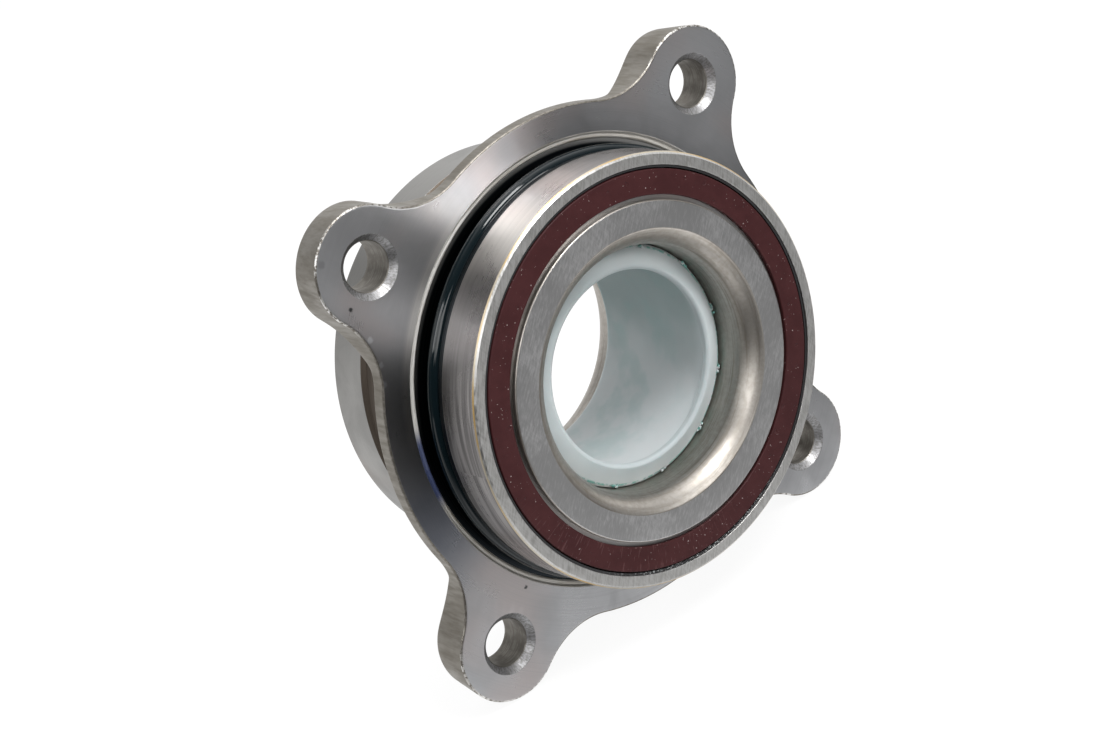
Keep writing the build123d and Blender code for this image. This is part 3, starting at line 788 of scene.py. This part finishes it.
# Studio: a pale floor that the ears stand on and a white backdrop, with soft boxes high in front, at the
# right front and at the left. The room in front is dim at the horizon and brighter near the ground, and
# that is what the metal's faces show. The bearing's sides and back show the pale floor and backdrop.
def light_group(glows):
    """A node group that gives the room's brightness in a direction: soft round glows, added up."""
    group = bpy.data.node_groups.new("room brightness", "ShaderNodeTree")
    group.interface.new_socket(name="Direction", in_out="INPUT", socket_type="NodeSocketVector")
    group.interface.new_socket(name="Strength", in_out="OUTPUT", socket_type="NodeSocketFloat")
    start, end = group.nodes.new("NodeGroupInput"), group.nodes.new("NodeGroupOutput")
    total = None
    for towards, focus, strength in glows:
        facing = group.nodes.new("ShaderNodeVectorMath")
        facing.operation = "DOT_PRODUCT"
        facing.inputs[1].default_value = Vector(towards).normalized()
        group.links.new(start.outputs[0], facing.inputs[0])
        steps = [group.nodes.new("ShaderNodeMath") for _ in range(4)]
        for step, (operation, value) in zip(steps, (("SUBTRACT", 1.0), ("MULTIPLY", focus), ("EXPONENT", 0.0),
                                                    ("MULTIPLY", strength))):
            step.operation = operation
            step.inputs[1].default_value = value
        group.links.new(facing.outputs["Value"], steps[0].inputs[0])
        for one, other in zip(steps, steps[1:]):
            group.links.new(one.outputs[0], other.inputs[0])
        if total:
            both = group.nodes.new("ShaderNodeMath")
            group.links.new(total, both.inputs[0])
            group.links.new(steps[-1].outputs[0], both.inputs[1])
            total = both.outputs[0]
        else:
            total = steps[-1].outputs[0]
    group.links.new(total, end.inputs[0])
    return group


def soft_box(name, towards, brightness, wide=0.46, high=0.46, distance=1.3):
    """A square lamp in that direction from the bearing, facing it, as bright as that where it is seen."""
    lamp = bpy.data.lights.new(name, "AREA")
    lamp.shape, lamp.size, lamp.size_y = "RECTANGLE", wide, high
    lamp.energy = math.pi * wide * high * brightness
    box = bpy.data.objects.new(name, lamp)
    out = Vector(towards).normalized()
    box.location = out * distance
    box.rotation_mode = "QUATERNION"
    box.rotation_quaternion = out.to_track_quat("Z", "Y")
    bpy.context.scene.collection.objects.link(box)


soft_box("high box in front", (0.13, -0.53, 0.84), 19.7)
soft_box("box at the right front", (0.35, -0.87, 0.34), 7.1)
soft_box("high box at the left", (-0.80, 0.03, 0.60), 6.5)
soft_box("box at the left front", (-0.52, -0.74, 0.42), 5.2)
soft_box("box at the left", (-0.74, -0.45, 0.50), 3.3)
room = light_group([
    ((-0.37, -0.02, -0.93), 50, 3.55), ((0.02, -0.57, -0.82), 50, 3.0), ((0.47, -0.53, -0.71), 50, 2.75),
    ((-0.56, -0.43, -0.70), 50, 2.1), ((0.10, -0.75, -0.65), 50, 1.3), ((0.55, -0.78, -0.30), 50, 0.49),
    ((0.14, -0.99, 0.08), 50, 0.92), ((0.96, -0.14, 0.23), 50, 1.9), ((0.49, 0.18, 0.85), 5, 2.0),
    ((-0.69, 0.61, -0.40), 14, 1.8), ((-0.04, 0.39, 0.92), 14, 1.25), ((0.03, 0.92, -0.40), 5, 1.1),
    ((-0.66, 0.70, 0.27), 14, 0.63)])


def background_share(nodes, links, place, low, high):
    """1 for the camera's rays. Rays seen in metal or through glass show the background too, from where
    place passes low, and in full from high: in front of that, the photographed metal shows a dim room."""
    rays = nodes.new("ShaderNodeLightPath")
    reach = nodes.new("ShaderNodeMapRange")
    links.new(place, reach.inputs["Value"])
    reach.inputs["From Min"].default_value, reach.inputs["From Max"].default_value = low, high
    glossy, through, seen = [rays.outputs[f"Is {kind} Ray"] for kind in ("Glossy", "Transmission", "Camera")]
    either, within, share = [nodes.new("ShaderNodeMath") for _ in range(3)]
    for step, operation, one, other in ((either, "MAXIMUM", glossy, through),
                                        (within, "MULTIPLY", either.outputs[0], reach.outputs[0]),
                                        (share, "MAXIMUM", within.outputs[0], seen)):
        step.operation = operation
        links.new(one, step.inputs[0])
        links.new(other, step.inputs[1])
    return share.outputs[0]


floor_mesh = bpy.data.meshes.new("floor")
floor_z, floor_half = -0.0592, 3.0
floor_mesh.from_pydata([(-floor_half, -floor_half, floor_z), (floor_half, -floor_half, floor_z),
                        (floor_half, floor_half, floor_z), (-floor_half, floor_half, floor_z)], [], [(0, 1, 2, 3)])
floor = bpy.data.objects.new("floor", floor_mesh)
bpy.context.scene.collection.objects.link(floor)
floor_paint = bpy.data.materials.new("pale floor")
floor_paint.use_nodes = True
paint_nodes, paint_links = floor_paint.node_tree.nodes, floor_paint.node_tree.links
paint = paint_nodes["Principled BSDF"]
paint.inputs["Base Color"].default_value = (0.8, 0.8, 0.8, 1)
paint.inputs["Roughness"].default_value = 0.9
through, white = paint_nodes.new("ShaderNodeBsdfTransparent"), paint_nodes.new("ShaderNodeEmission")
seen, lit = paint_nodes.new("ShaderNodeMixShader"), paint_nodes.new("ShaderNodeMixShader")
seen.inputs[0].default_value = 0.88
paint_links.new(paint.outputs[0], seen.inputs[1])
paint_links.new(white.outputs[0], seen.inputs[2])
white.inputs["Strength"].default_value = 1.04
floor_place = paint_nodes.new("ShaderNodeSeparateXYZ")
paint_links.new(paint_nodes.new("ShaderNodeTexCoord").outputs["Object"], floor_place.inputs[0])
paint_links.new(background_share(paint_nodes, paint_links, floor_place.outputs["Y"], -0.06, 0.02), lit.inputs[0])
paint_links.new(through.outputs[0], lit.inputs[1])
paint_links.new(seen.outputs[0], lit.inputs[2])
paint_links.new(lit.outputs[0], paint_nodes["Material Output"].inputs[0])
floor_mesh.materials.append(floor_paint)

world = bpy.data.worlds.new("studio room")
bpy.context.scene.world = world
world.use_nodes = True
room_nodes, room_links = world.node_tree.nodes, world.node_tree.links
world_room = room_nodes.new("ShaderNodeGroup")
world_room.node_tree = room
room_links.new(room_nodes.new("ShaderNodeTexCoord").outputs["Generated"], world_room.inputs[0])
room_seen = room_nodes.new("ShaderNodeMix")
room_seen.data_type = "FLOAT"
backdrop = room_nodes.new("ShaderNodeVectorMath")
backdrop.operation = "DOT_PRODUCT"
backdrop.inputs[1].default_value = -camera_back
room_links.new(room_nodes.new("ShaderNodeTexCoord").outputs["Generated"], backdrop.inputs[0])
room_links.new(background_share(room_nodes, room_links, backdrop.outputs["Value"], 0.5, 0.75), room_seen.inputs[0])
room_links.new(world_room.outputs[0], room_seen.inputs[2])
room_seen.inputs[3].default_value = 1.0
room_links.new(room_seen.outputs[0], room_nodes["Background"].inputs["Strength"])
room_nodes["Background"].inputs["Color"].default_value = (1, 1, 1, 1)

view = bpy.context.scene.view_settings
view.view_transform = "Standard"
